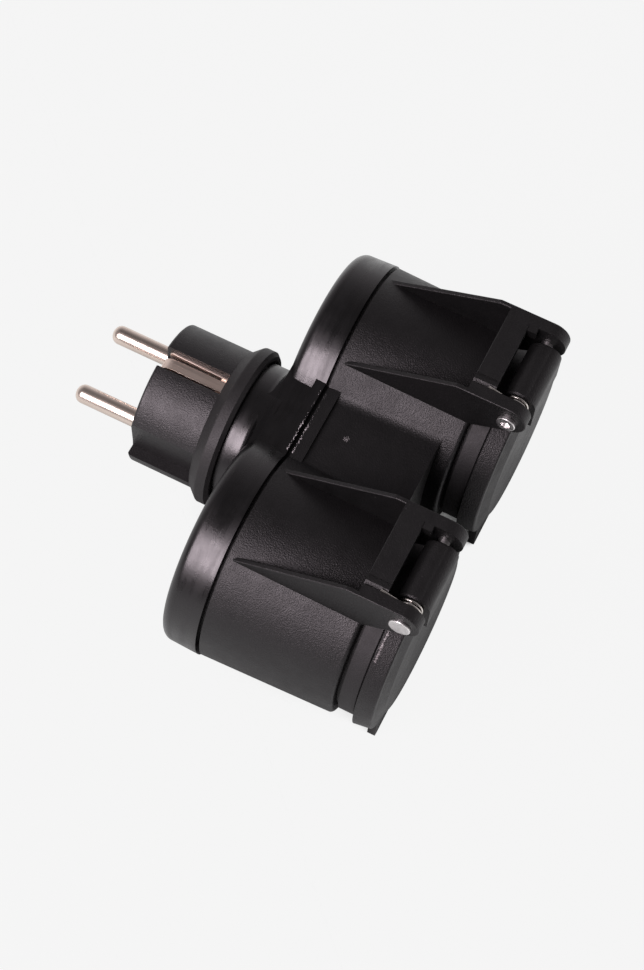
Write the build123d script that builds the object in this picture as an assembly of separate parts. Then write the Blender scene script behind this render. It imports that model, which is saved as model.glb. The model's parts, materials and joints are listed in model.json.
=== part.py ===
from build123d import *
import math
import os

# An outdoor two-way socket adaptor. A two-pin earthed plug at the back carries two sockets side by
# side, and each socket has a lid on a spring hinge.
#
# The model is drawn with x through both sockets, y up to the hinges and z as the depth behind the
# plug face, towards the lids. Each piece is turned into the part's own frame when it is written:
# origin in the plug face between the pins, X through the sockets, Y out along the pins, Z up.

# Plug, in millimetres
PIN_SPACING = 19.0
PIN_DIAMETER = 4.8
PIN_LENGTH = 18.5
PIN_TIP_ROUND = 2.0
PIN_ROOT_DIAMETER = 4.0
PIN_SHANK_DIAMETER = 3.4
PIN_RIVET_DIAMETER = 5.8
PIN_RIVET_HEIGHT = 1.0
SPIGOT_DIAMETER = 32.4
PLUG_SHOULDER = 2.1
PLUG_DIAMETER = SPIGOT_DIAMETER + 2 * PLUG_SHOULDER
PLUG_LENGTH = 17.0
PLUG_EDGE_ROUND = 0.7
SNAP_BEAD_HEIGHT = 0.7
SNAP_BEAD_LENGTH = 1.6
GUIDE_GROOVE_LOW = 2.3
GUIDE_GROOVE_TOP = 9.1
GUIDE_GROOVE_DEPTH = 3.1
GUIDE_GROOVE_LEAN = 0.7
EARTH_SLOT_WIDTH = 5.8
EARTH_SLOT_DEPTH = 3.6
EARTH_STRIP_WIDTH = 5.2
EARTH_STRIP_THICKNESS = 0.8
EARTH_FOLD_LENGTH = 3.0
EARTH_EDGE_THICKNESS = 0.5
EARTH_EDGE_SETBACK = 0.4

# Sealing ring behind the plug
SEAL_WIDTH = 4.5
SEAL_DIAMETER = SPIGOT_DIAMETER + 2 * SEAL_WIDTH
SEAL_THICKNESS = 6.0
SEAL_FRONT_SLOPE = 2.6
SEAL_EDGE_ROUND = 0.8
SEAL_BACK_ROUND = 0.9
SEAL_UNDERCUT = 1.4

# Front housing
HOUSING_BACK_DIAMETER = 53.2
HOUSING_TAPER = 1.0
HOUSING_FRONT_DIAMETER = HOUSING_BACK_DIAMETER - 2 * HOUSING_TAPER
HOUSING_WALL = 2.4
HOUSING_BORE = HOUSING_FRONT_DIAMETER - 2 * HOUSING_WALL
HOUSING_LENGTH = 34.1
HOUSING_EDGE_ROUND = 1.0
LOBE_GAP = 5.2
LOBE_PITCH = HOUSING_BACK_DIAMETER + LOBE_GAP
MOUTH_LIP_LENGTH = 2.0
BRIDGE_SETBACK = 4.2
BRIDGE_ROUND = 4.0
TONGUE_LENGTH = 3.4
TONGUE_WALL = 1.2
HOUSING_FLANGE_LENGTH = 3.2
HOUSING_FLANGE_HEIGHT = 1.2
FLANGE_INSET = 15.0
FLANGE_WIDTH = LOBE_PITCH - 2 * FLANGE_INSET

# Rear cover
NECK_WALL = 1.8
NECK_DIAMETER = SPIGOT_DIAMETER + 2 * NECK_WALL
NECK_LENGTH = 5.8
NECK_FLARE = 2.0
WAIST_STEP = 0.2
WAIST_HEIGHT = NECK_DIAMETER - 2 * WAIST_STEP
WAIST_WALL = 2.0
SEAM_GAP = 0.9
COVER_DEPTH = 9.7
COVER_OVERHANG = 0.3
COVER_DIAMETER = HOUSING_BACK_DIAMETER + 2 * COVER_OVERHANG
COVER_DRAFT = 0.4
COVER_BACK_ROUND = 2.6
COVER_WALL = 2.2
COVER_FLANGE_LENGTH = 2.6
COVER_FLANGE_HEIGHT = 1.8

# Sockets
COLLAR_STEP = 0.6
COLLAR_DIAMETER = HOUSING_BORE + 2 * COLLAR_STEP
COLLAR_WALL = 4.0
COLLAR_GROOVE_WIDTH = 0.9
COLLAR_GROOVE_DEPTH = 1.2
SOCKET_WELL_DIAMETER = COLLAR_DIAMETER - 2 * COLLAR_WALL
SOCKET_WELL_DEPTH = 17.5
SOCKET_FLOOR = 2.4
COLLAR_LENGTH = 5.7
COLLAR_CHAMFER = 0.8
CONTACT_HOLE_DIAMETER = 5.6
CONTACT_BOSS_WALL = 1.4
CONTACT_BOSS_LENGTH = 12.0
GUIDE_RIB_WIDTH = 4.0
GUIDE_RIB_HEIGHT = 2.3
GUIDE_RIB_LENGTH = 14.0

# Contacts and earth
SLEEVE_WALL = 1.1
SLEEVE_LENGTH = 11.2
SLEEVE_SLOT = 0.7
SLEEVE_SLOT_LENGTH = 8.0
BUSBAR_THICKNESS = 1.0
BUSBAR_WIDTH = 5.0
BUSBAR_OFFSET = 9.0
BUSBAR_TAB_WIDTH = 7.2
EARTH_CLIP_WIDTH = 6.0
EARTH_CLIP_THICKNESS = 0.8
EARTH_CLIP_REACH = 10.5
EARTH_CLIP_BULGE = 1.9
EARTH_CLIP_BEND = 3.7
EARTH_CLIP_PEAK = 7.4

# Lids
LID_REACH = 10.0
LID_INSET = 0.6
LID_DIAMETER = HOUSING_FRONT_DIAMETER - 2 * LID_INSET
LID_COLLAR_GAP = 0.3
LID_FACE = 1.6
LID_SKIRT_LENGTH = 4.5
LID_SKIRT_FLARE = 0.6
LID_RIM_ROUND = 0.5
LID_CROWN_HEIGHT = 1.3
LID_CROWN_INSET = 5.5
LID_CROWN_DIAMETER = LID_DIAMETER - 2 * LID_CROWN_INSET
LID_CROWN_SLOPE = 3.5
LID_CROWN_ROUND = 1.0
LIP_WIDTH = 34.0
LIP_REACH = 5.0
LIP_THICKNESS = 2.0
LIP_SETBACK = 0.5
LIP_CORNER = 1.6
GASKET_WIDTH = 2.8
GASKET_ROUND = 0.5

# Hinges
HINGE_RISE = 4.7
HINGE_HEIGHT = HOUSING_FRONT_DIAMETER / 2 + HINGE_RISE
HINGE_REACH = 8.8
HINGE_PIN_DIAMETER = 3.0
HINGE_HEAD_DIAMETER = 5.4
HINGE_HEAD_HEIGHT = 0.6
HINGE_HEAD_ROUND = 0.25
HINGE_PEEN_DIAMETER = 4.7
HINGE_PEEN_HEIGHT = 0.9
HINGE_PEEN_DIMPLE = 2.4
BARREL_DIAMETER = 7.0
BARREL_CHAMFER = 0.4
STRAP_PROUD = 1.1
STRAP_RISE = 3.0
STRAP_ROUND = 3.3
STRAP_OVERLAP = 1.6
SPRING_SPACE = 2.7
EAR_SPAN = 26.8
EAR_THICKNESS = 3.3
EAR_END_RADIUS = 4.6
EAR_RISE = 5.2
RIB_THICKNESS = 1.2
RIB_BEND_LENGTH = 2.8
BRACKET_EDGE_ROUND = 0.3
RIB_SETBACK = 2.3
PLATE_LENGTH = 5.8
PLATE_CORNER_WIDTH = 1.7
PLATE_CORNER_LENGTH = 2.3
PLATE_THICKNESS = 2.4
PLATE_WALL = 1.8
SPRING_POCKET_WIDTH = 2.8
SPRING_POCKET_STEP = 0.35
SPRING_POCKET_DEPTH = 0.8
SPRING_POCKET_SLOPE = 1.3
SPRING_POCKET_UNDERCUT = 0.35
SPRING_WIRE = 0.6
SPRING_COIL_DIAMETER = 5.6
SPRING_TURNS = 2
SPRING_LEG_REST = 1.8
SPRING_LEG_DROP = 6.0
SPRING_LEDGE_WIDTH = 2.0
SPRING_LEDGE_HEIGHT = 2.6
SPRING_LEDGE_THICKNESS = 1.6

# Clearances
FIT_CLEARANCE = 0.05
RUNNING_CLEARANCE = 0.05
PART_CLEARANCE = 0.3
HINGE_END_CLEARANCE = 1.9

# Depths behind the plug face, from the plug to the lids
SEAL_FRONT = PLUG_LENGTH
NECK_FRONT = SEAL_FRONT + SEAL_THICKNESS
COVER_BACK = NECK_FRONT + NECK_LENGTH
COVER_INSIDE = COVER_BACK + COVER_WALL
SEAM = COVER_BACK + COVER_DEPTH
HOUSING_BACK = SEAM + SEAM_GAP
HOUSING_FRONT = HOUSING_BACK + HOUSING_LENGTH
MOUTH_LIP_BACK = HOUSING_FRONT - MOUTH_LIP_LENGTH
BRIDGE_FRONT = HOUSING_FRONT - BRIDGE_SETBACK
COLLAR_FRONT = HOUSING_FRONT + COLLAR_LENGTH
WELL_FLOOR = COLLAR_FRONT - SOCKET_WELL_DEPTH
FLOOR_BACK = WELL_FLOOR - SOCKET_FLOOR
BOSS_BACK = FLOOR_BACK - CONTACT_BOSS_LENGTH
BUSBAR_FRONT = BOSS_BACK - PART_CLEARANCE
BUSBAR_BACK = BUSBAR_FRONT - BUSBAR_THICKNESS
CLIP_BASE_BACK = FLOOR_BACK - EARTH_CLIP_THICKNESS
EARTH_BAR_BACK = CLIP_BASE_BACK - BUSBAR_THICKNESS
LID_RIM = HOUSING_FRONT + LID_REACH
LID_SKIRT_BACK = LID_RIM - LID_SKIRT_LENGTH
LID_INSIDE = LID_RIM - LID_FACE
LID_CROWN = LID_RIM + LID_CROWN_HEIGHT
HINGE_DEPTH = HOUSING_FRONT + HINGE_REACH

# Radii, heights and places that follow from the sizes above
LOBE_X = LOBE_PITCH / 2
PIN_X = PIN_SPACING / 2
PLUG_RADIUS = PLUG_DIAMETER / 2
SPIGOT_RADIUS = SPIGOT_DIAMETER / 2
SNAP_BEAD_BACK = COVER_INSIDE + PART_CLEARANCE + SNAP_BEAD_LENGTH
EARTH_STRIP_BOTTOM = PLUG_RADIUS - EARTH_SLOT_DEPTH
EARTH_STRIP_TOP = EARTH_STRIP_BOTTOM + EARTH_STRIP_THICKNESS
HOUSING_RADIUS = HOUSING_BACK_DIAMETER / 2
MOUTH_RADIUS = HOUSING_FRONT_DIAMETER / 2
WAIST_TOP = WAIST_HEIGHT / 2
WAIST_INSIDE = WAIST_TOP - WAIST_WALL
COLLAR_RADIUS = COLLAR_DIAMETER / 2
WELL_RADIUS = SOCKET_WELL_DIAMETER / 2
INSERT_RADIUS = HOUSING_BORE / 2 - FIT_CLEARANCE
TONGUE_RADIUS = HOUSING_BORE / 2 + TONGUE_WALL
TONGUE_HEIGHT = WAIST_INSIDE + TONGUE_WALL
SLEEVE_BORE = PIN_DIAMETER / 2 + FIT_CLEARANCE
SLEEVE_RADIUS = SLEEVE_BORE + SLEEVE_WALL
BOSS_BORE = SLEEVE_RADIUS + FIT_CLEARANCE
BOSS_RADIUS = BOSS_BORE + CONTACT_BOSS_WALL
LID_RADIUS = LID_DIAMETER / 2
LID_BORE = COLLAR_RADIUS + LID_COLLAR_GAP
EAR_OUTSIDE = EAR_SPAN / 2
EAR_INSIDE = EAR_OUTSIDE - EAR_THICKNESS
EAR_TOP = HINGE_HEIGHT + EAR_RISE
KINK = HOUSING_FRONT - RIB_SETBACK
PLATE_FRONT = KINK + PLATE_LENGTH
HINGE_PIN_RADIUS = HINGE_PIN_DIAMETER / 2
BARREL_RADIUS = BARREL_DIAMETER / 2
BARREL_RIGHT = EAR_INSIDE - HINGE_END_CLEARANCE
BARREL_LEFT = -EAR_INSIDE + SPRING_SPACE

SIDES = {"left": -1, "right": 1}
TO_PART_FRAME = Plane(origin=(0, 0, 0), x_dir=(1, 0, 0), z_dir=(0, -1, 0))


def rod(radius, z0, z1, x=0.0, y=0.0):
    """A cylinder along the depth."""
    return Pos(x, y, z0) * Cylinder(radius, z1 - z0, align=(Align.CENTER, Align.CENTER, Align.MIN))


def taper(radius0, z0, radius1, z1, x=0.0):
    """A cone frustum along the depth."""
    return Pos(x, 0, z0) * Cone(radius0, radius1, z1 - z0, align=(Align.CENTER, Align.CENTER, Align.MIN))


def block(x0, x1, y0, y1, z0, z1):
    """A box from its six faces."""
    return Pos((x0 + x1) / 2, (y0 + y1) / 2, (z0 + z1) / 2) * Box(x1 - x0, y1 - y0, z1 - z0)


def cross_rod(radius, x0, x1):
    """A cylinder along x on the hinge axis."""
    place = Pos((x0 + x1) / 2, HINGE_HEIGHT, HINGE_DEPTH) * Rot(0, 90, 0)
    return place * Cylinder(radius, x1 - x0)


def side_plate(points, x0, x1):
    """A flat plate across x, from an outline given as depth and height."""
    outline = Polyline(*[(0, y, z) for z, y in points], close=True)
    return Pos(x0, 0, 0) * extrude(make_face(outline), amount=x1 - x0, dir=(1, 0, 0))


def turned(points):
    """A solid turned about the plug axis, from an outline given as radius and depth."""
    outline = Polyline(*[(r, 0, z) for r, z in points], close=True)
    return revolve(make_face(outline), axis=Axis.Z)


def figure_eight(radius, half_height, z0, z1):
    """Both round lobes and the waist between them."""
    waist = block(-LOBE_X, LOBE_X, -half_height, half_height, z0, z1)
    return rod(radius, z0, z1, -LOBE_X) + rod(radius, z0, z1, LOBE_X) + waist


def edges_at(shape, z):
    """The edges that lie flat at one depth."""
    return shape.edges().filter_by_position(Axis.Z, z, z)


def make_pin():
    """A pin with its shoulder on the plug face and its thinner root riveted to a busbar."""
    shank = rod(PIN_SHANK_DIAMETER / 2, BUSBAR_BACK, BUSBAR_FRONT)
    rivet = rod(PIN_RIVET_DIAMETER / 2, BUSBAR_FRONT, BUSBAR_FRONT + PIN_RIVET_HEIGHT)
    root = rod(PIN_ROOT_DIAMETER / 2, 0, BUSBAR_BACK)
    pin = rod(PIN_DIAMETER / 2, -PIN_LENGTH, 0)
    pin = fillet(edges_at(pin, -PIN_LENGTH), PIN_TIP_ROUND)
    return pin + root + shank + rivet


def make_plug_body():
    body = rod(PLUG_RADIUS, 0, PLUG_LENGTH)
    body = fillet(edges_at(body, 0), PLUG_EDGE_ROUND)
    body += rod(SPIGOT_RADIUS, PLUG_LENGTH, COVER_INSIDE)
    body += snap_bead()
    for side in SIDES.values():
        body -= rod(PIN_ROOT_DIAMETER / 2 + FIT_CLEARANCE, 0, SNAP_BEAD_BACK, side * PIN_X)
        body -= guide_groove(side)
        body -= earth_slot(side)
    return body


def snap_bead():
    """The spigot's inner end, with beads at both sides that snap in behind the cover's back wall."""
    bead_front = COVER_INSIDE + PART_CLEARANCE
    half_height = WAIST_INSIDE - PART_CLEARANCE
    bead_radius = SPIGOT_RADIUS + SNAP_BEAD_HEIGHT
    end = rod(SPIGOT_RADIUS, COVER_INSIDE, SNAP_BEAD_BACK) + rod(bead_radius, bead_front, SNAP_BEAD_BACK)
    return end & block(-bead_radius, bead_radius, -half_height, half_height, COVER_INSIDE, SNAP_BEAD_BACK)


def guide_groove(side):
    """The groove along one side of the plug: a flat that leans out to the round side, on a level ledge."""
    flat = PLUG_RADIUS - GUIDE_GROOVE_DEPTH
    outline = Polyline(
        (side * flat, -GUIDE_GROOVE_LOW),
        (side * flat, 0),
        (side * (flat + GUIDE_GROOVE_LEAN), GUIDE_GROOVE_TOP),
        (side * PLUG_RADIUS, GUIDE_GROOVE_TOP),
        (side * PLUG_RADIUS, -GUIDE_GROOVE_LOW),
        close=True,
    )
    return extrude(make_face(outline), amount=PLUG_LENGTH)


def earth_slot(side):
    """The slot for one earth strip, with a notch in the plug face for its fold."""
    half = EARTH_SLOT_WIDTH / 2
    low = EARTH_STRIP_BOTTOM - FIT_CLEARANCE
    fold_low = EARTH_STRIP_TOP - EARTH_FOLD_LENGTH - PART_CLEARANCE
    slot = block(-half, half, low, PLUG_RADIUS, 0, SNAP_BEAD_BACK)
    slot += block(-half, half, fold_low, PLUG_RADIUS, 0, EARTH_STRIP_THICKNESS + PART_CLEARANCE)
    return slot if side > 0 else mirror(slot, about=Plane.XZ)


def make_earth_strip(side):
    """A channel along the plug's slot, folded over the face, with its floor run back to the earth bar."""
    half = EARTH_STRIP_WIDTH / 2
    top = EARTH_STRIP_TOP
    fold_low = top - EARTH_FOLD_LENGTH
    front = PART_CLEARANCE
    strip = block(-half, half, EARTH_STRIP_BOTTOM, top, front, EARTH_BAR_BACK)
    strip += block(-half, half, fold_low, top, front, front + EARTH_STRIP_THICKNESS)
    edge_in = half - EARTH_EDGE_THICKNESS
    edge_top = math.sqrt(PLUG_RADIUS ** 2 - half ** 2) - EARTH_EDGE_SETBACK
    edge_back = PLUG_LENGTH - EARTH_EDGE_SETBACK
    edge = block(edge_in, half, EARTH_STRIP_BOTTOM, edge_top, front, edge_back)
    strip += edge + mirror(edge, about=Plane.YZ)
    return strip if side > 0 else mirror(strip, about=Plane.XZ)


def make_seal():
    inner = SPIGOT_RADIUS + FIT_CLEARANCE
    outer = SEAL_DIAMETER / 2
    neck = NECK_DIAMETER / 2
    points = [
        (inner, SEAL_FRONT),
        (PLUG_RADIUS, SEAL_FRONT),
        (outer, SEAL_FRONT + SEAL_FRONT_SLOPE),
        (outer, NECK_FRONT - SEAL_BACK_ROUND),
        (outer - SEAL_BACK_ROUND, NECK_FRONT),
        (neck + SEAL_BACK_ROUND, NECK_FRONT),
        (neck - SEAL_BACK_ROUND, NECK_FRONT - SEAL_UNDERCUT),
        (neck - 2 * SEAL_BACK_ROUND, NECK_FRONT),
        (inner, NECK_FRONT),
    ]
    seal = turned(points)
    return fillet(edges_at(seal, SEAL_FRONT + SEAL_FRONT_SLOPE), SEAL_EDGE_ROUND)


def make_rear_cover():
    back_radius = COVER_DIAMETER / 2 - COVER_DRAFT
    rim_radius = COVER_DIAMETER / 2
    cover = rod(NECK_DIAMETER / 2, NECK_FRONT, COVER_INSIDE)
    for side in SIDES.values():
        lobe = taper(back_radius, COVER_BACK, rim_radius, SEAM, side * LOBE_X)
        cover += fillet(edges_at(lobe, COVER_BACK), COVER_BACK_ROUND)
    cover += block(-LOBE_X, LOBE_X, -WAIST_TOP, WAIST_TOP, COVER_BACK, SEAM)
    cover += neck_flare()
    flange_top = WAIST_TOP + COVER_FLANGE_HEIGHT
    flange_half = FLANGE_WIDTH / 2
    cover += block(-flange_half, flange_half, -flange_top, flange_top, SEAM - COVER_FLANGE_LENGTH, SEAM)
    cover -= figure_eight(back_radius - COVER_WALL, WAIST_INSIDE, COVER_INSIDE, SEAM)
    rebate_depth = TONGUE_LENGTH + PART_CLEARANCE
    rebate_radius = TONGUE_RADIUS + FIT_CLEARANCE
    cover -= figure_eight(rebate_radius, TONGUE_HEIGHT + FIT_CLEARANCE, SEAM - rebate_depth, SEAM)
    cover -= rod(SPIGOT_RADIUS + FIT_CLEARANCE, NECK_FRONT, COVER_INSIDE)
    return cover


def neck_flare():
    """The hollow curve from the neck out to the cover's back, trimmed to the cover's outline."""
    foot = NECK_DIAMETER / 2 + NECK_FLARE
    start = COVER_BACK - NECK_FLARE
    flare = rod(foot, start, COVER_INSIDE) - Pos(0, 0, start) * Torus(foot, NECK_FLARE)
    flat_radius = COVER_DIAMETER / 2 - COVER_DRAFT - COVER_BACK_ROUND
    return flare & figure_eight(flat_radius, WAIST_TOP, start, COVER_INSIDE)


def make_front_housing():
    housing = block(-LOBE_X, LOBE_X, -WAIST_TOP, WAIST_TOP, HOUSING_BACK, BRIDGE_FRONT)
    for side in SIDES.values():
        lobe = taper(HOUSING_RADIUS, HOUSING_BACK, MOUTH_RADIUS, HOUSING_FRONT, side * LOBE_X)
        housing += fillet(edges_at(lobe, HOUSING_FRONT), HOUSING_EDGE_ROUND)
    housing = fillet(bridge_creases(housing), BRIDGE_ROUND)
    for side in SIDES.values():
        housing += Pos(side * LOBE_X, 0, 0) * hinge_bracket()
    flange_top = WAIST_TOP + HOUSING_FLANGE_HEIGHT
    flange_half = FLANGE_WIDTH / 2
    flange_front = HOUSING_BACK + HOUSING_FLANGE_LENGTH
    housing += block(-flange_half, flange_half, -flange_top, flange_top, HOUSING_BACK, flange_front)
    housing += figure_eight(TONGUE_RADIUS, TONGUE_HEIGHT, SEAM - TONGUE_LENGTH, HOUSING_BACK)
    bore_back = SEAM - TONGUE_LENGTH
    bridge_inside = BRIDGE_FRONT - WAIST_WALL
    housing -= block(-LOBE_X, LOBE_X, -WAIST_INSIDE, WAIST_INSIDE, bore_back, bridge_inside)
    for side in SIDES.values():
        housing -= rod(HOUSING_BORE / 2, bore_back, MOUTH_LIP_BACK, side * LOBE_X)
        housing -= rod(COLLAR_RADIUS + FIT_CLEARANCE, MOUTH_LIP_BACK, HOUSING_FRONT, side * LOBE_X)
    return housing


def bridge_creases(housing):
    """The long inner edges where the flat bridge runs into the round lobes."""
    level = housing.edges().filter_by(lambda e: abs(abs(e.center().Y) - WAIST_TOP) < FIT_CLEARANCE)
    inner = level.filter_by(lambda e: LOBE_GAP / 2 < abs(e.center().X) < LOBE_X)
    return inner.filter_by(lambda e: e.length > HOUSING_LENGTH / 2)


def softened(plate, low, x):
    """A side plate with its upper edges on one face rounded."""
    edges = plate.edges().filter_by_position(Axis.X, x, x).filter_by(Axis.Y, reverse=True)
    return fillet(edges.filter_by(lambda e: e.center().Y > low), BRACKET_EDGE_ROUND)


def hinge_bracket():
    """The two gusset ribs with their ears, the plate between them and its back wall, on one lobe."""
    root = math.sqrt((HOUSING_BORE / 2) ** 2 - EAR_OUTSIDE ** 2)
    toe = math.sqrt(HOUSING_RADIUS ** 2 - EAR_OUTSIDE ** 2)
    rib_outline = [
        (HOUSING_BACK + SEAM_GAP, root),
        (HOUSING_BACK + SEAM_GAP, toe),
        (KINK - RIB_BEND_LENGTH, EAR_TOP),
        (HOUSING_FRONT, EAR_TOP),
        (HOUSING_FRONT, root),
    ]
    end_height = EAR_TOP - EAR_END_RADIUS
    foot = math.sqrt((COLLAR_RADIUS + PART_CLEARANCE) ** 2 - EAR_INSIDE ** 2)
    ear_outline = [
        (KINK, root),
        (KINK, EAR_TOP),
        (HINGE_DEPTH, EAR_TOP),
        (HINGE_DEPTH, EAR_TOP - 2 * EAR_END_RADIUS),
        (HOUSING_FRONT, foot),
        (HOUSING_FRONT, root),
    ]
    rib_inside = EAR_OUTSIDE - RIB_THICKNESS
    rib = softened(side_plate(rib_outline, rib_inside, EAR_OUTSIDE), toe, EAR_OUTSIDE)
    rib = softened(rib, toe, rib_inside)
    ear_end = Pos((EAR_INSIDE + EAR_OUTSIDE) / 2, end_height, HINGE_DEPTH) * Rot(0, 90, 0)
    ear = side_plate(ear_outline, EAR_INSIDE, EAR_OUTSIDE)
    ear += ear_end * Cylinder(EAR_END_RADIUS, EAR_THICKNESS)
    bracket = rib + softened(ear, EAR_TOP - 2 * EAR_END_RADIUS, EAR_OUTSIDE)
    bracket += mirror(bracket, about=Plane.YZ)
    plate_low = EAR_TOP - PLATE_THICKNESS
    plate = block(-EAR_INSIDE, EAR_INSIDE, plate_low, EAR_TOP, KINK, PLATE_FRONT)
    bracket += fillet(plate.edges().filter_by(Axis.X).group_by(Axis.Y)[-1], BRACKET_EDGE_ROUND)
    corner_front = PLATE_FRONT + PLATE_CORNER_LENGTH
    corner_left = EAR_INSIDE - PLATE_CORNER_WIDTH
    bracket += block(corner_left, EAR_INSIDE, plate_low, EAR_TOP, PLATE_FRONT, corner_front)
    wall_low = HOUSING_BORE / 2
    bracket += block(-EAR_INSIDE, EAR_INSIDE, wall_low, plate_low, KINK, KINK + PLATE_WALL)
    bracket -= spring_pocket()
    bracket -= cross_rod(HINGE_PIN_RADIUS + FIT_CLEARANCE, -EAR_OUTSIDE, EAR_OUTSIDE)
    return bracket


def spring_pocket():
    """The shallow step at the plate's end, which slopes down beside the ear to seat the spring's leg."""
    right = -EAR_INSIDE + SPRING_POCKET_WIDTH
    bend = -EAR_INSIDE + SPRING_POCKET_SLOPE
    step = EAR_TOP - SPRING_POCKET_STEP
    low = EAR_TOP - SPRING_POCKET_DEPTH - SPRING_POCKET_UNDERCUT
    outline = Polyline(
        (right, EAR_TOP),
        (right, step),
        (bend, step),
        (-EAR_INSIDE, low),
        (-EAR_INSIDE, EAR_TOP),
        close=True,
    )
    return Pos(0, 0, KINK) * extrude(make_face(outline), amount=PLATE_LENGTH)


def make_socket_insert():
    """The socket well with its collar, guide ribs, contact bosses and earth clip slots."""
    insert = rod(INSERT_RADIUS, FLOOR_BACK, MOUTH_LIP_BACK)
    collar = rod(COLLAR_RADIUS, MOUTH_LIP_BACK, COLLAR_FRONT)
    insert += chamfer(edges_at(collar, COLLAR_FRONT), COLLAR_CHAMFER)
    groove_front = HOUSING_FRONT + COLLAR_GROOVE_WIDTH
    groove = rod(COLLAR_RADIUS, HOUSING_FRONT, groove_front)
    insert -= groove - rod(COLLAR_RADIUS - COLLAR_GROOVE_DEPTH, HOUSING_FRONT, groove_front)
    insert -= rod(WELL_RADIUS, WELL_FLOOR, COLLAR_FRONT)
    rib_front = WELL_FLOOR + GUIDE_RIB_LENGTH
    half_rib = GUIDE_RIB_WIDTH / 2
    half_slot = EARTH_CLIP_WIDTH / 2 + PART_CLEARANCE
    slot_low = clip_arm_height() - EARTH_CLIP_THICKNESS - PART_CLEARANCE
    for side in SIDES.values():
        ends = sorted((side * (WELL_RADIUS - GUIDE_RIB_HEIGHT), side * (WELL_RADIUS + half_rib)))
        rib = block(ends[0], ends[1], -half_rib, half_rib, WELL_FLOOR, rib_front)
        insert += rib & rod(INSERT_RADIUS, FLOOR_BACK, COLLAR_FRONT)
        insert += rod(BOSS_RADIUS, BOSS_BACK, FLOOR_BACK, side * PIN_X)
        insert -= rod(BOSS_BORE, BOSS_BACK, FLOOR_BACK, side * PIN_X)
        insert -= rod(CONTACT_HOLE_DIAMETER / 2, FLOOR_BACK, WELL_FLOOR, side * PIN_X)
        edges = sorted((side * slot_low, side * WELL_RADIUS))
        insert -= block(-half_slot, half_slot, edges[0], edges[1], FLOOR_BACK, WELL_FLOOR)
    return insert


def clip_arm_height():
    """The outer face of an earth clip arm, just inside the round wall of the well."""
    return math.sqrt(WELL_RADIUS ** 2 - (EARTH_CLIP_WIDTH / 2) ** 2) - PART_CLEARANCE


def make_earth_clip():
    """A springy bracket behind the socket floor with an arm up each side of the well."""
    half = EARTH_CLIP_WIDTH / 2
    outer = clip_arm_height()
    inner = outer - EARTH_CLIP_THICKNESS
    tip = WELL_FLOOR + EARTH_CLIP_REACH
    bend = WELL_FLOOR + EARTH_CLIP_BEND
    peak = WELL_FLOOR + EARTH_CLIP_PEAK
    arm = [
        (CLIP_BASE_BACK, outer),
        (bend, outer),
        (peak, outer - EARTH_CLIP_BULGE),
        (tip, outer),
        (tip, inner),
        (peak, inner - EARTH_CLIP_BULGE),
        (bend, inner),
        (CLIP_BASE_BACK, inner),
    ]
    clip = side_plate(arm, -half, half)
    clip += mirror(clip, about=Plane.XZ)
    return clip + block(-half, half, -outer, outer, CLIP_BASE_BACK, FLOOR_BACK)


def make_busbar(side):
    """A strip that joins one plug pin with one contact sleeve in each socket."""
    half = BUSBAR_WIDTH / 2
    tab_half = BUSBAR_TAB_WIDTH / 2
    low = BUSBAR_OFFSET - half
    pin_x = side * PIN_X
    sleeves_x = [x + pin_x for x in (-LOBE_X, LOBE_X)]
    left, right = min(sleeves_x) - tab_half, max(sleeves_x) + tab_half
    bar = block(left, right, low, BUSBAR_OFFSET + half, BUSBAR_BACK, BUSBAR_FRONT)
    for x in [pin_x] + sleeves_x:
        bar += block(x - tab_half, x + tab_half, -tab_half, low, BUSBAR_BACK, BUSBAR_FRONT)
    bar -= rod(PIN_SHANK_DIAMETER / 2 + FIT_CLEARANCE, BUSBAR_BACK, BUSBAR_FRONT, pin_x)
    for x in sleeves_x:
        bar += contact_sleeve(x)
    return bar if side < 0 else mirror(bar, about=Plane.XZ)


def contact_sleeve(x):
    """A slotted tube that grips a plug pin."""
    front = BUSBAR_FRONT + SLEEVE_LENGTH
    slot_back = front - SLEEVE_SLOT_LENGTH
    half_slot = SLEEVE_SLOT / 2
    sleeve = rod(SLEEVE_RADIUS, BUSBAR_FRONT, front, x) - rod(SLEEVE_BORE, BUSBAR_FRONT, front, x)
    return sleeve - block(x - half_slot, x + half_slot, -SLEEVE_RADIUS, SLEEVE_RADIUS, slot_back, front)


def make_earth_bar():
    """A tee that joins both earth clips with the plug's two earth strips."""
    strip_half = EARTH_STRIP_WIDTH / 2
    reach = LOBE_X + EARTH_CLIP_WIDTH / 2
    top = EARTH_STRIP_TOP
    bar = block(-reach, reach, top - BUSBAR_WIDTH, top, EARTH_BAR_BACK, CLIP_BASE_BACK)
    return bar + block(-strip_half, strip_half, -top, top, EARTH_BAR_BACK, CLIP_BASE_BACK)


def make_lid():
    cap = taper(LID_RADIUS + LID_SKIRT_FLARE, LID_SKIRT_BACK, LID_RADIUS, LID_RIM)
    lid = fillet(edges_at(cap, LID_RIM), LID_RIM_ROUND)
    crown_foot = LID_CROWN_DIAMETER / 2 + LID_CROWN_SLOPE
    crown = taper(crown_foot, LID_RIM, LID_CROWN_DIAMETER / 2, LID_CROWN)
    lid += fillet(edges_at(crown, LID_CROWN), LID_CROWN_ROUND)
    lid -= rod(LID_BORE, LID_SKIRT_BACK, LID_INSIDE)
    lid += finger_lip()
    return lid + lid_hinge_arm()


def finger_lip():
    """The wide lip under the lid that a finger lifts."""
    half = LIP_WIDTH / 2
    low = -LID_RADIUS - LIP_REACH
    high = -math.sqrt(LID_RADIUS ** 2 - half ** 2)
    front = LID_RIM - LIP_SETBACK
    lip = block(-half, half, low, high, front - LIP_THICKNESS, front)
    corners = lip.edges().filter_by(Axis.Z).group_by(Axis.Y)[0]
    return fillet(corners, LIP_CORNER) - rod(LID_BORE, LID_SKIRT_BACK, LID_INSIDE)


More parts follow.
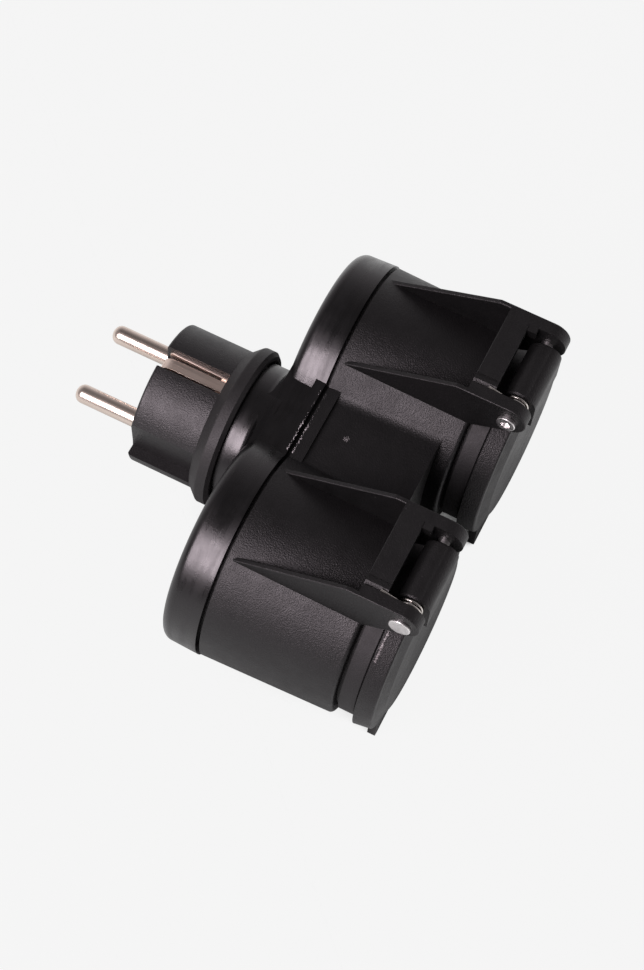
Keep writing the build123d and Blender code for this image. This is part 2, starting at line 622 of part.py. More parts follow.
def lid_hinge_arm():
    """The barrel on the hinge pin and the strap that carries it on the lid."""
    front = HINGE_DEPTH + BARREL_RADIUS + STRAP_PROUD
    low = LID_BORE - STRAP_OVERLAP
    top = HINGE_HEIGHT + STRAP_RISE
    strap = block(BARREL_LEFT, BARREL_RIGHT, low, top, HINGE_DEPTH, front)
    strap = fillet(edges_at(strap, front).group_by(Axis.Y)[-1], STRAP_ROUND)
    strap += block(BARREL_LEFT, BARREL_RIGHT, low, HINGE_HEIGHT, LID_INSIDE, HINGE_DEPTH)
    barrel = cross_rod(BARREL_RADIUS, BARREL_LEFT, BARREL_RIGHT)
    ends = barrel.edges().filter_by(GeomType.CIRCLE)
    arm = strap + chamfer(ends, BARREL_CHAMFER) + spring_ledge()
    return arm - cross_rod(HINGE_PIN_RADIUS + RUNNING_CLEARANCE, BARREL_LEFT, BARREL_RIGHT)


def spring_ledge():
    """The ledge beside the strap that the spring's lower leg presses on from the front."""
    top = HINGE_HEIGHT - SPRING_LEG_DROP + SPRING_LEDGE_HEIGHT
    front = HINGE_DEPTH + (SPRING_COIL_DIAMETER - SPRING_WIRE) / 2 - RUNNING_CLEARANCE
    left = BARREL_LEFT - SPRING_LEDGE_WIDTH
    back = front - SPRING_LEDGE_THICKNESS
    return block(left, BARREL_LEFT, top - SPRING_LEDGE_HEIGHT, top, back, front)


def make_gasket():
    outer = COLLAR_RADIUS
    back = COLLAR_FRONT + PART_CLEARANCE
    ring = rod(outer, back, LID_INSIDE) - rod(outer - GASKET_WIDTH, back, LID_INSIDE)
    return fillet(edges_at(ring, back), GASKET_ROUND)


def make_hinge_pin(side):
    """A rivet through both ears, its flat head on the outer side and its dimpled end inside."""
    head_in = EAR_OUTSIDE + RUNNING_CLEARANCE
    head_out = head_in + HINGE_HEAD_HEIGHT
    peen_out = head_in + HINGE_PEEN_HEIGHT
    head = cross_rod(HINGE_HEAD_DIAMETER / 2, -head_out, -head_in)
    head = fillet(head.edges().group_by(Axis.X)[0], HINGE_HEAD_ROUND)
    peen = cross_rod(HINGE_PEEN_DIAMETER / 2, head_in, peen_out)
    peen = fillet(peen.edges().group_by(Axis.X)[-1], HINGE_HEAD_ROUND)
    pin = cross_rod(HINGE_PIN_RADIUS, -head_in, head_in) + head + peen
    pin -= cross_rod(HINGE_PEEN_DIMPLE / 2, head_in, peen_out)
    return pin if side < 0 else mirror(pin, about=Plane.YZ)


def make_hinge_spring():
    """A torsion spring on the hinge pin, with one leg on the housing plate and one on the lid's ledge."""
    radius = SPRING_COIL_DIAMETER / 2
    wire_radius = SPRING_WIRE / 2
    free = SPRING_SPACE - SPRING_WIRE - 2 * RUNNING_CLEARANCE
    rest_height = EAR_TOP - SPRING_POCKET_DEPTH + wire_radius - HINGE_HEIGHT
    rest_depth = PLATE_FRONT - HINGE_DEPTH
    rest_distance = math.hypot(rest_height, rest_depth)
    start = math.atan2(rest_depth, rest_height) + math.acos(radius / rest_distance)
    turn = SPRING_TURNS * 2 * math.pi + math.pi / 2 - start
    pitch = free * 2 * math.pi / turn
    place = Plane(
        origin=(-EAR_INSIDE + RUNNING_CLEARANCE + wire_radius, HINGE_HEIGHT, HINGE_DEPTH),
        x_dir=(0, math.cos(start), math.sin(start)),
        z_dir=(1, 0, 0),
    )
    helix = Helix(pitch=pitch, height=free, radius=radius)
    section = Plane(origin=helix @ 0, z_dir=helix % 0) * Circle(wire_radius)
    spring = sweep(section, path=helix)
    housing_leg = math.sqrt(rest_distance ** 2 - radius ** 2) + SPRING_LEG_REST
    spring += wire_run((radius, 0, 0), (0, -1, 0), housing_leg)
    last = Vector(radius * math.cos(turn), radius * math.sin(turn), free)
    spring += wire_run(last, (-math.sin(turn), math.cos(turn), 0), SPRING_LEG_DROP)
    return place.location * spring


def wire_run(start, direction, length):
    """A straight run of spring wire with a round knuckle at its start."""
    run = Plane(origin=start, z_dir=direction) * Cylinder(
        SPRING_WIRE / 2, length, align=(Align.CENTER, Align.CENTER, Align.MIN)
    )
    return run + Pos(*start) * Sphere(SPRING_WIRE / 2)


def write(name, solid):
    export_step(TO_PART_FRAME.location * solid, f"parts/{name}.step")


os.makedirs("parts", exist_ok=True)
write("plug_body", make_plug_body())
write("line_pin", Pos(-PIN_X, 0, 0) * make_pin())
write("neutral_pin", Pos(PIN_X, 0, 0) * make_pin())
write("upper_earth_strip", make_earth_strip(1))
write("lower_earth_strip", make_earth_strip(-1))
write("plug_seal", make_seal())
write("rear_cover", make_rear_cover())
write("front_housing", make_front_housing())
write("line_busbar", make_busbar(-1))
write("neutral_busbar", make_busbar(1))
write("earth_bar", make_earth_bar())
for name, side in SIDES.items():
    lobe = Pos(side * LOBE_X, 0, 0)
    write(f"{name}_socket_insert", lobe * make_socket_insert())
    write(f"{name}_earth_clip", lobe * make_earth_clip())
    write(f"{name}_lid", lobe * make_lid())
    write(f"{name}_lid_gasket", lobe * make_gasket())
    write(f"{name}_hinge_pin", lobe * make_hinge_pin(side))
    write(f"{name}_hinge_spring", lobe * make_hinge_spring())
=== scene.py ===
import json
import math

import bmesh
import bpy
from mathutils import Matrix, Vector


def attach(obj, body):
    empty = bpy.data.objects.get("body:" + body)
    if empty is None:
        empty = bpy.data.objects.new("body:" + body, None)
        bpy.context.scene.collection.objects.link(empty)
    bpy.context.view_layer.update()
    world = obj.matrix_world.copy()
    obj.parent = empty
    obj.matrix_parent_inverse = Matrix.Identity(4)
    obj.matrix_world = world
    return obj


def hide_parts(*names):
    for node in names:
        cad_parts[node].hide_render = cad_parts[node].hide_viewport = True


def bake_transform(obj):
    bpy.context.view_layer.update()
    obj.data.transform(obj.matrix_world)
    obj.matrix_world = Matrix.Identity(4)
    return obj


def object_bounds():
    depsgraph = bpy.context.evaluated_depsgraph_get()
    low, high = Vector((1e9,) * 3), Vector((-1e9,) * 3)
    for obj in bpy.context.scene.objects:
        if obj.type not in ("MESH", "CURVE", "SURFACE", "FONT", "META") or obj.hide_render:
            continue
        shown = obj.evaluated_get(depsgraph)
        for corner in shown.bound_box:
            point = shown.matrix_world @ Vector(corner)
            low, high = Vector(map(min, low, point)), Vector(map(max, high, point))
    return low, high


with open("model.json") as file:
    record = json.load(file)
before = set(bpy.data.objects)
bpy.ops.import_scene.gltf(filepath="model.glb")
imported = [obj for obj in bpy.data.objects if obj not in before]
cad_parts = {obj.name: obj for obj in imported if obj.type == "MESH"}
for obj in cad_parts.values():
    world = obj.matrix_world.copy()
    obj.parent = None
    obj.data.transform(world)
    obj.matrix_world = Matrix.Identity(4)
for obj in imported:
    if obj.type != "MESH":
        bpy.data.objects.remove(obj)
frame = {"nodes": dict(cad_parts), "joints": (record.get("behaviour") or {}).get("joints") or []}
cad_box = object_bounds()
nodes = frame["nodes"]
scene = bpy.context.scene
scene.view_settings.view_transform = "Standard"

# Camera, in metres: it looks from above, over the plug's shoulder
CAMERA_PLACE = (-0.2503, -0.1325, 0.5081)
CAMERA_TURN = Matrix((
    (0.440473, 0.787864, -0.430410),
    (-0.895684, 0.418286, -0.150954),
    (0.061104, 0.452003, 0.889921),
))
CAMERA_SENSOR_MM = 36.0
CAMERA_LENS_MM = 87.2165

# Lamps, in metres and watts
LAMP_TARGET = (0, -0.04, 0)
LAMP_COLOUR = (1.0, 0.93, 0.965)
KEY_PLACE = (-0.70, 0.235, 0.70)
KEY_SIZE = (0.52, 0.60)
KEY_POWER = 10.6
HALO_PLACE = (-0.72, 0.24, 0.72)
HALO_SIZE = (0.95, 1.0)
HALO_POWER = 1.4

# The room's light: dim on the lamps' side, brighter opposite, darker towards the zenith
ROOM_COLOUR = (1.0, 0.96, 0.98, 1)
ROOM_DIM_SIDE = 0.20
ROOM_BRIGHT_SIDE = 0.62
ROOM_SIDE_SPAN = (-0.9, 0.5)
ROOM_ZENITH = 0.12
ROOM_HEIGHT_SPAN = (0.1, 0.92)

# Floor, in metres. Its openness is the share of free sky where it turns from shadow to white, by kind of ray
FLOOR_REACH = 6
FLOOR_GAP = 0.0005
FLOOR_MATTE = (0.17, 0.17, 0.17, 1)
FLOOR_WHITE = (0.97, 0.97, 0.97, 1)
FLOOR_WHITE_SHARE = 0.93
FLOOR_SHADE_REACH = 0.08
FLOOR_OPENNESS = {"Camera": (0.06, 0.3), "Transmission": (0.06, 0.3), "Glossy": (0.41, 0.92)}

# Scales of the materials' textures, in waves per metre
FLOW_SCALE = 60.0
WAVE_SCALE = 70.0
GLOSS_SCALE = 220.0
DUST_SCALE = 420.0
DUST_PATCH_SCALE = 300.0
STREAK_SCALE = 420.0
TARNISH_SCALE = 140.0
DRAWING_SCALE = 900.0
FINE_GRAIN = 3000.0
MIDDLE_GRAIN = 2600.0
COARSE_GRAIN = 2400.0

# Colour of dust, and the tint of the plastics' shine
DUST_COLOUR = (0.32, 0.31, 0.30)
SHINE_TINT = (1.0, 0.93, 0.97, 1.0)
PLASTIC_IOR = 1.56
SHELL_IOR = 1.50

# How textures are stretched, as scales along X, Y and Z: a small scale draws lines along its axis
ALONG_PINS = (1.0, 0.04, 1.0)
ALONG_HINGE_PINS = (0.3, 1.0, 1.0)
ALONG_BUSBARS = (0.05, 1.0, 1.0)
EVENLY = (1.0, 1.0, 1.0)
ROUND_COVER = (0.12, 1.0, 0.12)

# From here on, places and sizes are in millimetres
MM = 0.001
HINGES = {joint["child"]: [v / MM for v in joint["pos_m"]] for joint in frame["joints"]}
RAY_HEIGHT = 100.0
RIGHT = Vector((1, 0, 0))
BACK = Vector((0, 1, 0))

# Edges of the scene's own pieces: which stay sharp, and which are softened
SHARP_ANGLE = math.radians(40)
BEVEL_ANGLE = math.radians(35)
BEVEL_SEGMENTS = 2

# Earth strips: places along Y with the height of the top there
STRIP_LOW = 14.7
STRIP_TOP = 16.05
STRIP_HALF_WIDTH = 1.43
STRIP_CURVE = ((-0.95, 15.1), (-1.5, 15.55), (-2.2, 15.92), (-3.2, STRIP_TOP), (-16.6, STRIP_TOP))
STRIP_BEVEL = 0.08
FOLD_LOW = 12.55
FOLD_CURVE = ((-0.32, 14.45), (-0.6, 14.85), (-0.95, 15.1), (-1.08, 15.1))
TAIL_HALF_WIDTH = 2.6
TAIL_LOW = STRIP_LOW - 0.02
TAIL_TOP = STRIP_LOW + 0.6
TAIL_CURVE = ((-15.0, TAIL_TOP), (-57.45, TAIL_TOP))
EDGE_INSIDE = 2.34
EDGE_OUTSIDE = 2.88
EDGE_LOW = STRIP_LOW - 0.04
EDGE_CURVE = ((-1.0, 16.0), (-1.6, 16.62), (-16.8, 15.82))

# Hinge springs: the leg on the housing rests behind and above the hinge's axis, given as forward and up
SPRING_REST = (-5.3, 4.7)
SPRING_RADIUS = 2.8
SPRING_WIRE_RADIUS = 0.3
SPRING_SIDE = 9.75
SPRING_LENGTH = 2.0
SPRING_END_ANGLE = 4.5 * math.pi
SPRING_STEPS = 64
LEG_PAST_REST = 1.8
LEG_BEND = 0.4
LID_LEG = 6.0

# Lumps: the sides of each, how deep it sits in the surface, and its width as a share of its length
FLAKE_SIDES = 6
FLAKE_SINK = 0.02
FLAKE_WIDTH_SHARE = 0.6

# Flash along both edges of the seam at the waist, stronger on the left half. Its pale grey is painted glint.
FLASH_PLACES = (("cover_flash", "rear_cover", -38.25), ("housing_flash", "front_housing", -39.65))
FLASH_START = -9.5
FLASH_STEP = 0.4
FLASH_COUNT = 46
FLASH_SIZE = 0.14
FLASH_VARIATION = 0.42
FLASH_WAVER = 0.12
FLASH_WEAK_SHARE = 0.35

# Gate mark on the bridge
GATE_PLACE = (0.5, -49.1)
GATE_COUNT = 15
GATE_TURN = 2.4
GATE_SPREAD = 0.2
GATE_FLAKE = 0.26

# Painted highlight along the back edge of the left lid's skirt, as pale lumps: its start and step are in
# degrees from the top
SKIRT_HIGHLIGHT_START = 27.0
SKIRT_HIGHLIGHT_STEP = 0.5
SKIRT_HIGHLIGHT_COUNT = 40
SKIRT_HIGHLIGHT_DEPTH = 79.7
SKIRT_HIGHLIGHT_WAVER = 0.07
SKIRT_HIGHLIGHT_FLAKE = 0.42
SKIRT_HIGHLIGHT_VARIATION = 0.16
SKIRT_HIGHLIGHT_RAY_RADIUS = 40


# Camera, light and floor

def add_camera():
    """The photograph's view."""
    data = bpy.data.cameras.new("camera")
    data.sensor_width = CAMERA_SENSOR_MM
    data.lens = CAMERA_LENS_MM
    camera = bpy.data.objects.new("camera", data)
    camera.matrix_world = Matrix.Translation(CAMERA_PLACE) @ CAMERA_TURN.to_4x4()
    scene.collection.objects.link(camera)
    scene.camera = camera


def add_lamp(name, place, size, power):
    """A soft box that looks at the part."""
    data = bpy.data.lights.new(name, "AREA")
    data.shape = "RECTANGLE"
    data.size, data.size_y = size
    data.energy = power
    data.color = LAMP_COLOUR
    lamp = bpy.data.objects.new(name, data)
    aim = Vector(LAMP_TARGET) - Vector(place)
    turn = aim.to_track_quat("-Z", "Y").to_matrix().to_4x4()
    lamp.matrix_world = Matrix.Translation(place) @ turn
    scene.collection.objects.link(lamp)


def add_world():
    """A dim room: its horizon changes from side to side, and it fades towards the zenith."""
    world = bpy.data.worlds.new("studio")
    scene.world = world
    world.use_nodes = True
    tree = world.node_tree
    tree.nodes.clear()
    out = tree.nodes.new("ShaderNodeOutputWorld")
    place = tree.nodes.new("ShaderNodeTexCoord")
    split = tree.nodes.new("ShaderNodeSeparateXYZ")
    side = tree.nodes.new("ShaderNodeMapRange")
    side.interpolation_type = "SMOOTHSTEP"
    side.inputs["From Min"].default_value, side.inputs["From Max"].default_value = ROOM_SIDE_SPAN
    side.inputs["To Min"].default_value = ROOM_DIM_SIDE
    side.inputs["To Max"].default_value = ROOM_BRIGHT_SIDE
    fade = tree.nodes.new("ShaderNodeMapRange")
    fade.interpolation_type = "SMOOTHSTEP"
    fade.inputs["From Min"].default_value, fade.inputs["From Max"].default_value = ROOM_HEIGHT_SPAN
    fade.inputs["To Max"].default_value = ROOM_ZENITH
    light = tree.nodes.new("ShaderNodeBackground")
    light.inputs["Color"].default_value = ROOM_COLOUR
    tree.links.new(place.outputs["Generated"], split.inputs["Vector"])
    tree.links.new(split.outputs["X"], side.inputs["Value"])
    tree.links.new(split.outputs["Z"], fade.inputs["Value"])
    tree.links.new(side.outputs["Result"], fade.inputs["To Min"])
    tree.links.new(fade.outputs["Result"], light.inputs["Strength"])
    tree.links.new(light.outputs["Background"], out.inputs["Surface"])


def add_floor():
    """A large pale floor under the part, in shadow where the part shuts it in."""
    mesh = bpy.data.meshes.new("floor")
    low = cad_box[0][2] - FLOOR_GAP
    corners = [(FLOOR_REACH * x, FLOOR_REACH * y, low) for x, y in ((-1, -1), (1, -1), (1, 1), (-1, 1))]
    mesh.from_pydata(corners, [], [(0, 1, 2, 3)])
    floor = bpy.data.objects.new("floor", mesh)
    scene.collection.objects.link(floor)
    material = bpy.data.materials.new("floor_pale")
    material.use_nodes = True
    tree = material.node_tree
    tree.nodes.clear()
    out = tree.nodes.new("ShaderNodeOutputMaterial")
    matte = tree.nodes.new("ShaderNodeBsdfDiffuse")
    matte.inputs["Color"].default_value = FLOOR_MATTE
    glow = tree.nodes.new("ShaderNodeEmission")
    glow.inputs["Color"].default_value = FLOOR_WHITE
    glow.inputs["Strength"].default_value = 1.0
    path = tree.nodes.new("ShaderNodeLightPath")
    shut = tree.nodes.new("ShaderNodeAmbientOcclusion")
    shut.inputs["Distance"].default_value = FLOOR_SHADE_REACH
    total = None
    for kind, openness in FLOOR_OPENNESS.items():
        span = tree.nodes.new("ShaderNodeMapRange")
        span.inputs["From Min"].default_value, span.inputs["From Max"].default_value = openness
        span.inputs["To Max"].default_value = FLOOR_WHITE_SHARE
        share = tree.nodes.new("ShaderNodeMath")
        share.operation = "MULTIPLY"
        tree.links.new(shut.outputs["AO"], span.inputs["Value"])
        tree.links.new(path.outputs[f"Is {kind} Ray"], share.inputs[0])
        tree.links.new(span.outputs["Result"], share.inputs[1])
        if total is not None:
            both = tree.nodes.new("ShaderNodeMath")
            both.operation = "MAXIMUM"
            tree.links.new(total, both.inputs[0])
            tree.links.new(share.outputs["Value"], both.inputs[1])
            share = both
        total = share.outputs["Value"]
    mix = tree.nodes.new("ShaderNodeMixShader")
    tree.links.new(total, mix.inputs["Fac"])
    tree.links.new(matte.outputs["BSDF"], mix.inputs[1])
    tree.links.new(glow.outputs["Emission"], mix.inputs[2])
    tree.links.new(mix.outputs["Shader"], out.inputs["Surface"])
    mesh.materials.append(material)


# Materials

class Shader:
    """A material under construction, with its texture coordinates in metres."""

    def __init__(self, name):
        self.material = bpy.data.materials.new(name)
        self.material.use_nodes = True
        self.tree = self.material.node_tree
        self.tree.nodes.clear()
        self.out = self.add("ShaderNodeOutputMaterial")
        self.bsdf = self.add("ShaderNodeBsdfPrincipled")
        self.link(self.bsdf.outputs["BSDF"], self.out.inputs["Surface"])
        self.place = self.add("ShaderNodeTexCoord").outputs["Object"]

    def add(self, kind, **settings):
        node = self.tree.nodes.new(kind)
        for key, value in settings.items():
            setattr(node, key, value)
        return node

    def link(self, a, b):
        self.tree.links.new(a, b)

    def stretched(self, scale):
        node = self.add("ShaderNodeMapping")
        node.inputs["Scale"].default_value = scale
        self.link(self.place, node.inputs["Vector"])
        return node.outputs["Vector"]

    def noise(self, scale, detail=3.0, rough=0.55, place=None):
        node = self.add("ShaderNodeTexNoise")
        node.inputs["Scale"].default_value = scale
        node.inputs["Detail"].default_value = detail
        node.inputs["Roughness"].default_value = rough
        self.link(place or self.place, node.inputs["Vector"])
        return node.outputs["Fac"]

    def span(self, value, low, high, to_low, to_high):
        node = self.add("ShaderNodeMapRange")
        node.inputs["From Min"].default_value = low
        node.inputs["From Max"].default_value = high
        node.inputs["To Min"].default_value = to_low
        node.inputs["To Max"].default_value = to_high
        self.link(value, node.inputs["Value"])
        return node.outputs["Result"]

    def joined(self, operation, a, b):
        node = self.add("ShaderNodeMath", operation=operation)
        self.link(a, node.inputs[0])
        self.link(b, node.inputs[1])
        return node.outputs["Value"]

    def tint(self, factor, a, b):
        node = self.add("ShaderNodeMix", data_type="RGBA")
        self.link(factor, node.inputs["Factor"])
        self.feed(a, node.inputs[6])
        self.feed(b, node.inputs[7])
        return node.outputs[2]

    def feed(self, value, socket):
        if isinstance(value, tuple):
            socket.default_value = (*value, 1.0)
        else:
            self.link(value, socket)

    def bump(self, height, strength, distance, under=None):
        node = self.add("ShaderNodeBump")
        node.inputs["Strength"].default_value = strength
        node.inputs["Distance"].default_value = distance
        self.link(height, node.inputs["Height"])
        if under is not None:
            self.link(under, node.inputs["Normal"])
        return node.outputs["Normal"]


def plastic(name, dark, light, rough, grain, depth, dust=0.0, streaks=0.0, ior=PLASTIC_IOR):
    """Moulded plastic with flow marks and a grain and, where asked, dust specks and polish streaks."""
    s = Shader(name)
    flow = s.noise(FLOW_SCALE, 4.0, 0.6)
    colour = s.tint(s.span(flow, 0.35, 0.7, 0.0, 1.0), dark, light)
    if dust:
        cells = s.add("ShaderNodeTexVoronoi")
        cells.inputs["Scale"].default_value = DUST_SCALE
        s.link(s.place, cells.inputs["Vector"])
        speck = s.span(cells.outputs["Distance"], 0.03, 0.06, 1.0, 0.0)
        pick = s.span(s.noise(DUST_PATCH_SCALE, 1.0), 0.66, 0.70, 0.0, dust)
        colour = s.tint(s.joined("MULTIPLY", speck, pick), colour, DUST_COLOUR)
    s.link(colour, s.bsdf.inputs["Base Color"])
    gloss = s.span(s.noise(GLOSS_SCALE, 5.0, 0.65), 0.3, 0.7, rough - 0.05, rough + 0.06)
    if streaks:
        lines = s.noise(STREAK_SCALE, 4.0, 0.6, s.stretched(ROUND_COVER))
        gloss = s.joined("ADD", gloss, s.span(lines, 0.3, 0.7, -streaks, streaks))
    s.link(gloss, s.bsdf.inputs["Roughness"])
    fine = s.bump(s.noise(grain, 2.0, 0.5), 1.0, depth)
    s.link(s.bump(s.noise(WAVE_SCALE, 2.0), 0.12, 0.00008, fine), s.bsdf.inputs["Normal"])
    s.bsdf.inputs["IOR"].default_value = ior
    s.bsdf.inputs["Specular Tint"].default_value = SHINE_TINT
    return s.material


def metal(name, dark, light, rough, streak, marks=0.12):
    """Worn bright metal with drawing lines along one direction and cloudy tarnish."""
    s = Shader(name)
    cloud = s.noise(TARNISH_SCALE, 5.0, 0.6)
    s.link(s.tint(s.span(cloud, 0.35, 0.68, 0.0, 1.0), dark, light), s.bsdf.inputs["Base Color"])
    lines = s.noise(DRAWING_SCALE, 3.0, 0.6, s.stretched(streak))
    s.link(s.span(lines, 0.3, 0.7, 0.8 * rough, 1.3 * rough), s.bsdf.inputs["Roughness"])
    s.link(s.bump(lines, marks, 0.00002), s.bsdf.inputs["Normal"])
    s.bsdf.inputs["Metallic"].default_value = 1.0
    return s.material


def make_materials():
    """Each finish by its name."""
    return {
        "plug": plastic(
            "plug_black", (0.0045, 0.0043, 0.0045), (0.0075, 0.0072, 0.0075),
            rough=0.44, grain=FINE_GRAIN, depth=0.00010, dust=0.25,
        ),
        "cover": plastic(
            "cover_black", (0.003, 0.0029, 0.003), (0.005, 0.0048, 0.005),
            rough=0.29, grain=FINE_GRAIN, depth=0.00002, dust=0.2, streaks=0.09,
        ),
        "shell": plastic(
            "shell_black", (0.003, 0.0029, 0.003), (0.005, 0.0049, 0.005),
            rough=0.45, grain=FINE_GRAIN, depth=0.00012, dust=0.4, ior=SHELL_IOR,
        ),
        "rubber": plastic(
            "rubber_dark", (0.007, 0.0067, 0.0067), (0.012, 0.0115, 0.0115),
            rough=0.58, grain=COARSE_GRAIN, depth=0.00008, dust=0.5,
        ),
        "insert": plastic(
            "insert_black", (0.004, 0.0039, 0.004), (0.0065, 0.0063, 0.0065),
            rough=0.62, grain=MIDDLE_GRAIN, depth=0.00005, dust=0.2,
        ),
        # Pale grey of the flash lumps: painted glints along the seam
        "flash": plastic(
            "flash_painted_glint", (0.20, 0.18, 0.19), (0.74, 0.68, 0.70),
            rough=0.22, grain=MIDDLE_GRAIN, depth=0.00003,
        ),
        # Light grey lumps for the gate on the bridge, and the painted highlight along the left lid's skirt
        # edge
        "gate_and_highlight": plastic(
            "gate_and_highlight_grey", (0.28, 0.25, 0.26), (0.52, 0.48, 0.49),
            rough=0.5, grain=MIDDLE_GRAIN, depth=0.00008,
        ),
        "nickel": metal("nickel", (0.70, 0.585, 0.52), (0.79, 0.67, 0.60), 0.27, ALONG_PINS, 0.0),
        "strip": metal("strip_nickel", (0.82, 0.66, 0.58), (0.90, 0.74, 0.66), 0.42, ALONG_PINS, 0.02),
        "rivet": metal("rivet_bright", (0.80, 0.76, 0.77), (0.95, 0.92, 0.92), 0.34, ALONG_HINGE_PINS),
        "brass": metal("brass_soft", (0.58, 0.40, 0.17), (0.74, 0.54, 0.25), 0.34, ALONG_BUSBARS),
        "wire": metal("spring_steel", (0.62, 0.57, 0.54), (0.82, 0.77, 0.73), 0.20, EVENLY, 0.03),
    }


def dress(material, *names):
    """Gives CAD nodes a finish."""
    for name in names:
        mesh = nodes[name].data
        mesh.materials.clear()
        mesh.materials.append(finish[material])


def dress_nodes():
    """The finish of every CAD node."""
    dress("plug", "plug_body")
    dress("cover", "rear_cover")
    dress("shell", "front_housing", "left_lid", "right_lid")
    dress("rubber", "plug_seal", "left_lid_gasket", "right_lid_gasket")
    dress("insert", "left_socket_insert", "right_socket_insert")
    dress("nickel", "line_pin", "neutral_pin", "left_earth_clip", "right_earth_clip")
    dress("strip", "upper_earth_strip", "lower_earth_strip", "earth_bar")
    dress("rivet", "left_hinge_pin", "right_hinge_pin")
    dress("brass", "line_busbar", "neutral_busbar")
    dress("wire", "left_hinge_spring", "right_hinge_spring")


# Pieces of the scene, with points in millimetres

def piece(name, points, faces, material, bevel=0.0):
    """A mesh object with smooth faces and, where asked, softened edges."""
    mesh = bpy.data.meshes.new(name)
    mesh.from_pydata([tuple(MM * v for v in p) for p in points], [], faces)
    mesh.validate()
    work = bmesh.new()
    work.from_mesh(mesh)
    bmesh.ops.recalc_face_normals(work, faces=work.faces)
    work.to_mesh(mesh)
    work.free()
    mesh.shade_smooth()
    mesh.set_sharp_from_angle(angle=SHARP_ANGLE)
    mesh.materials.append(finish[material])
    obj = bpy.data.objects.new(name, mesh)
    scene.collection.objects.link(obj)
    if bevel:
        soften = obj.modifiers.new("soften", "BEVEL")
        soften.width = bevel * MM
        soften.segments = BEVEL_SEGMENTS
        soften.limit_method = "ANGLE"
        soften.angle_limit = BEVEL_ANGLE
    return obj


def loft(rings):
    """Points and faces of a closed body through rings with equal point counts."""
    n = len(rings[0])
    points = [p for ring in rings for p in ring]
    faces = []
    for i in range(len(rings) - 1):
        for k in range(n):
            a = i * n + k
            b = i * n + (k + 1) % n
            faces.append((a, b, b + n, a + n))
    faces.append(tuple(range(n))[::-1])
    faces.append(tuple(range(len(points) - n, len(points))))
    return points, faces


def tube(path, radius, sides=10):
    """Points and faces of a closed round tube along a path."""
    rings = []
    across = Vector((1.0, 0.0, 0.0))
    for i, p in enumerate(path):
        ahead = path[min(i + 1, len(path) - 1)] - path[max(i - 1, 0)]
        ahead.normalize()
        across = (across - ahead * across.dot(ahead)).normalized()
        up = ahead.cross(across)
        turns = [2 * math.pi * k / sides for k in range(sides)]
        rings.append([p + radius * (math.cos(a) * across + math.sin(a) * up) for a in turns])
    return loft(rings)


def bar(left, right, low, curve):
    """A bar along the plug, with its top at each place along Y."""
    return loft([[(left, y, low), (right, y, low), (right, y, top), (left, y, top)] for y, top in curve])


def add_earth_strips():
    """The contacts in the plug's slots: a bar folded over the plug's face, its tail and two side edges."""
    shapes = [
        bar(-STRIP_HALF_WIDTH, STRIP_HALF_WIDTH, STRIP_LOW, STRIP_CURVE),
        bar(-STRIP_HALF_WIDTH, STRIP_HALF_WIDTH, FOLD_LOW, FOLD_CURVE),
        bar(-TAIL_HALF_WIDTH, TAIL_HALF_WIDTH, TAIL_LOW, TAIL_CURVE),
        bar(EDGE_INSIDE, EDGE_OUTSIDE, EDGE_LOW, EDGE_CURVE),
        bar(-EDGE_OUTSIDE, -EDGE_INSIDE, EDGE_LOW, EDGE_CURVE),
    ]
    points = []
    faces = []
    for shape_points, shape_faces in shapes:
        start = len(points)
        points += shape_points
        faces += [tuple(start + i for i in face) for face in shape_faces]
    for name, turn in (("upper", 1), ("lower", -1)):
        placed = [(turn * x, y, turn * z) for x, y, z in points]
        strip = piece(f"{name}_contact", placed, faces, "strip", STRIP_BEVEL)
        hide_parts(f"{name}_earth_strip")
        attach(strip, "adaptor")


def add_springs():
    """The hinge springs, wound smoothly between the housing and the lid."""
    lean = math.atan2(SPRING_REST[0], SPRING_REST[1])
    reach = math.hypot(*SPRING_REST)
    start = lean + math.acos(SPRING_RADIUS / reach)
    turn = SPRING_END_ANGLE - start
    for name in ("left", "right"):
        lid_x, hinge_y, hinge_z = HINGES[f"{name}_lid"]
        x0 = lid_x - SPRING_SIDE
        coil = []
        for i in range(SPRING_STEPS + 1):
            a = start + turn * i / SPRING_STEPS
            x = x0 + SPRING_LENGTH * i / SPRING_STEPS
            y = hinge_y - SPRING_RADIUS * math.sin(a)
            coil.append(Vector((x, y, hinge_z + SPRING_RADIUS * math.cos(a))))
        leg = Vector((0.0, math.cos(start), math.sin(start)))
        leg_length = math.sqrt(reach ** 2 - SPRING_RADIUS ** 2) + LEG_PAST_REST
        path = [coil[0] + leg * leg_length, coil[0] + leg * LEG_BEND] + coil
        path += [coil[-1] + Vector((0.0, 0.0, -LEG_BEND)), coil[-1] + Vector((0.0, 0.0, -LID_LEG))]
        points, faces = tube(path, SPRING_WIRE_RADIUS)
        spring = piece(f"{name}_torsion_spring", points, faces, "wire")
        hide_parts(f"{name}_hinge_spring")
        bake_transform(spring)


def found(node, place, direction):
    """Where a ray from a place meets a node."""
    return nodes[node].ray_cast(MM * place, direction)[1] / MM


def surface(node, x, y):
    """The height of a node's top at a place."""
    return found(node, Vector((x, y, RAY_HEIGHT)), Vector((0, 0, -1))).z


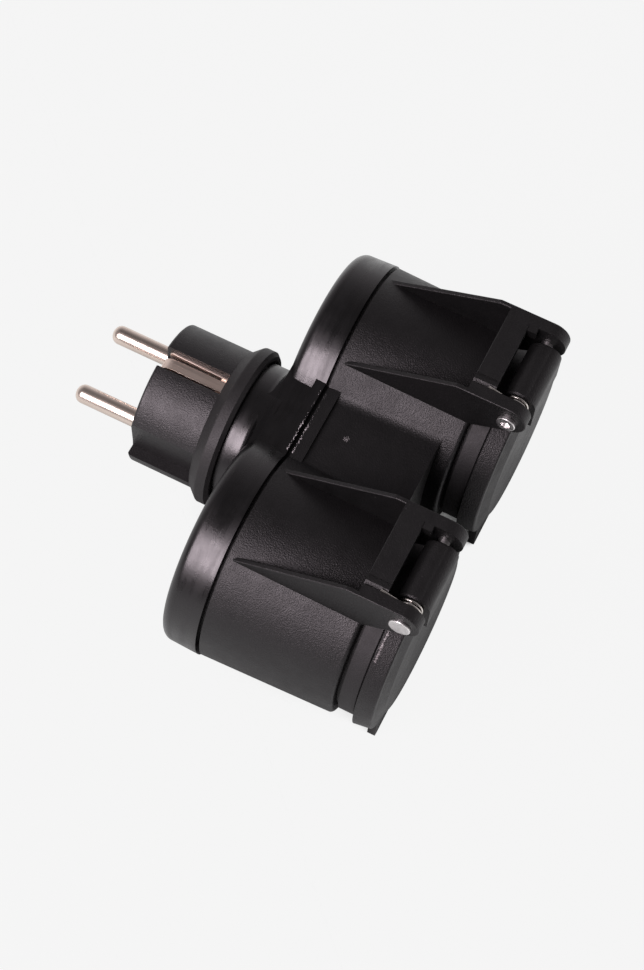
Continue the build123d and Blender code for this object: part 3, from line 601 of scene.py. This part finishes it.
def flakes(name, spots, material, body):
    """Small lumps of plastic, made unlike each other by sines of their numbers.

    Each spot is a place, two directions along the surface, and a size.
    """
    points = []
    faces = []
    for i, (place, along, across, spread) in enumerate(spots):
        normal = along.cross(across).normalized()
        start = len(points)
        for k in range(FLAKE_SIDES):
            a = 2 * math.pi * k / FLAKE_SIDES + 0.7 * i
            r = spread * (0.7 + 0.3 * math.sin(2.3 * i + 1.9 * k))
            side = math.cos(a) * along + FLAKE_WIDTH_SHARE * math.sin(a) * across
            points.append(place + r * side - FLAKE_SINK * normal)
        points.append(place + (0.45 + 0.3 * math.sin(3.7 * i)) * spread * normal)
        tip = start + FLAKE_SIDES
        faces += [(start + k, start + (k + 1) % FLAKE_SIDES, tip) for k in range(FLAKE_SIDES)]
        faces.append(tuple(range(start, tip))[::-1])
    obj = piece(name, points, faces, material)
    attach(obj, body)


def add_flash():
    """Flash along both edges of the seam at the waist, its pale grey a painted glint."""
    for name, node, y in FLASH_PLACES:
        spots = []
        for i in range(FLASH_COUNT):
            x = FLASH_START + FLASH_STEP * i
            spread = FLASH_SIZE + FLASH_VARIATION * abs(math.sin(1.3 * i) * math.sin(0.37 * i + 1.0))
            if x >= 0:
                spread *= FLASH_WEAK_SHARE
            place = Vector((x, y + FLASH_WAVER * math.sin(2.1 * i), surface(node, x, y)))
            spots.append((place, RIGHT, BACK, spread))
        flakes(name, spots, "flash", "adaptor")


def add_gate_mark():
    """The gate on the bridge, its light grey lumps in a spiral."""
    spots = []
    for i in range(GATE_COUNT):
        a = GATE_TURN * i
        r = GATE_SPREAD * math.sqrt(i)
        x = GATE_PLACE[0] + r * math.cos(a)
        y = GATE_PLACE[1] + r * math.sin(a)
        spots.append((Vector((x, y, surface("front_housing", x, y))), RIGHT, BACK, GATE_FLAKE))
    flakes("gate_mark", spots, "gate_and_highlight", "adaptor")


def add_skirt_edge_highlight():
    """A painted highlight along the skirt of the left lid: pale lumps stand in for light caught on its back
    edge.
    """
    lid_x = HINGES["left_lid"][0]
    spots = []
    for i in range(SKIRT_HIGHLIGHT_COUNT):
        a = math.radians(SKIRT_HIGHLIGHT_START + SKIRT_HIGHLIGHT_STEP * i)
        depth = SKIRT_HIGHLIGHT_DEPTH + SKIRT_HIGHLIGHT_WAVER * math.sin(1.1 * i * i)
        out = Vector((-math.sin(a), 0, math.cos(a)))
        along = Vector((-math.cos(a), 0, -math.sin(a)))
        place = found("left_lid", Vector((lid_x, -depth, 0)) + SKIRT_HIGHLIGHT_RAY_RADIUS * out, -out)
        spread = SKIRT_HIGHLIGHT_FLAKE + SKIRT_HIGHLIGHT_VARIATION * math.sin(0.6 * i * i + 1.0)
        spots.append((place, BACK, along, spread))
    flakes("skirt_edge_highlight", spots, "gate_and_highlight", "left_lid")


add_camera()
add_world()
add_lamp("key", KEY_PLACE, KEY_SIZE, KEY_POWER)
add_lamp("halo", HALO_PLACE, HALO_SIZE, HALO_POWER)
add_floor()
finish = make_materials()
dress_nodes()
add_earth_strips()
add_springs()
add_flash()
add_gate_mark()
add_skirt_edge_highlight()
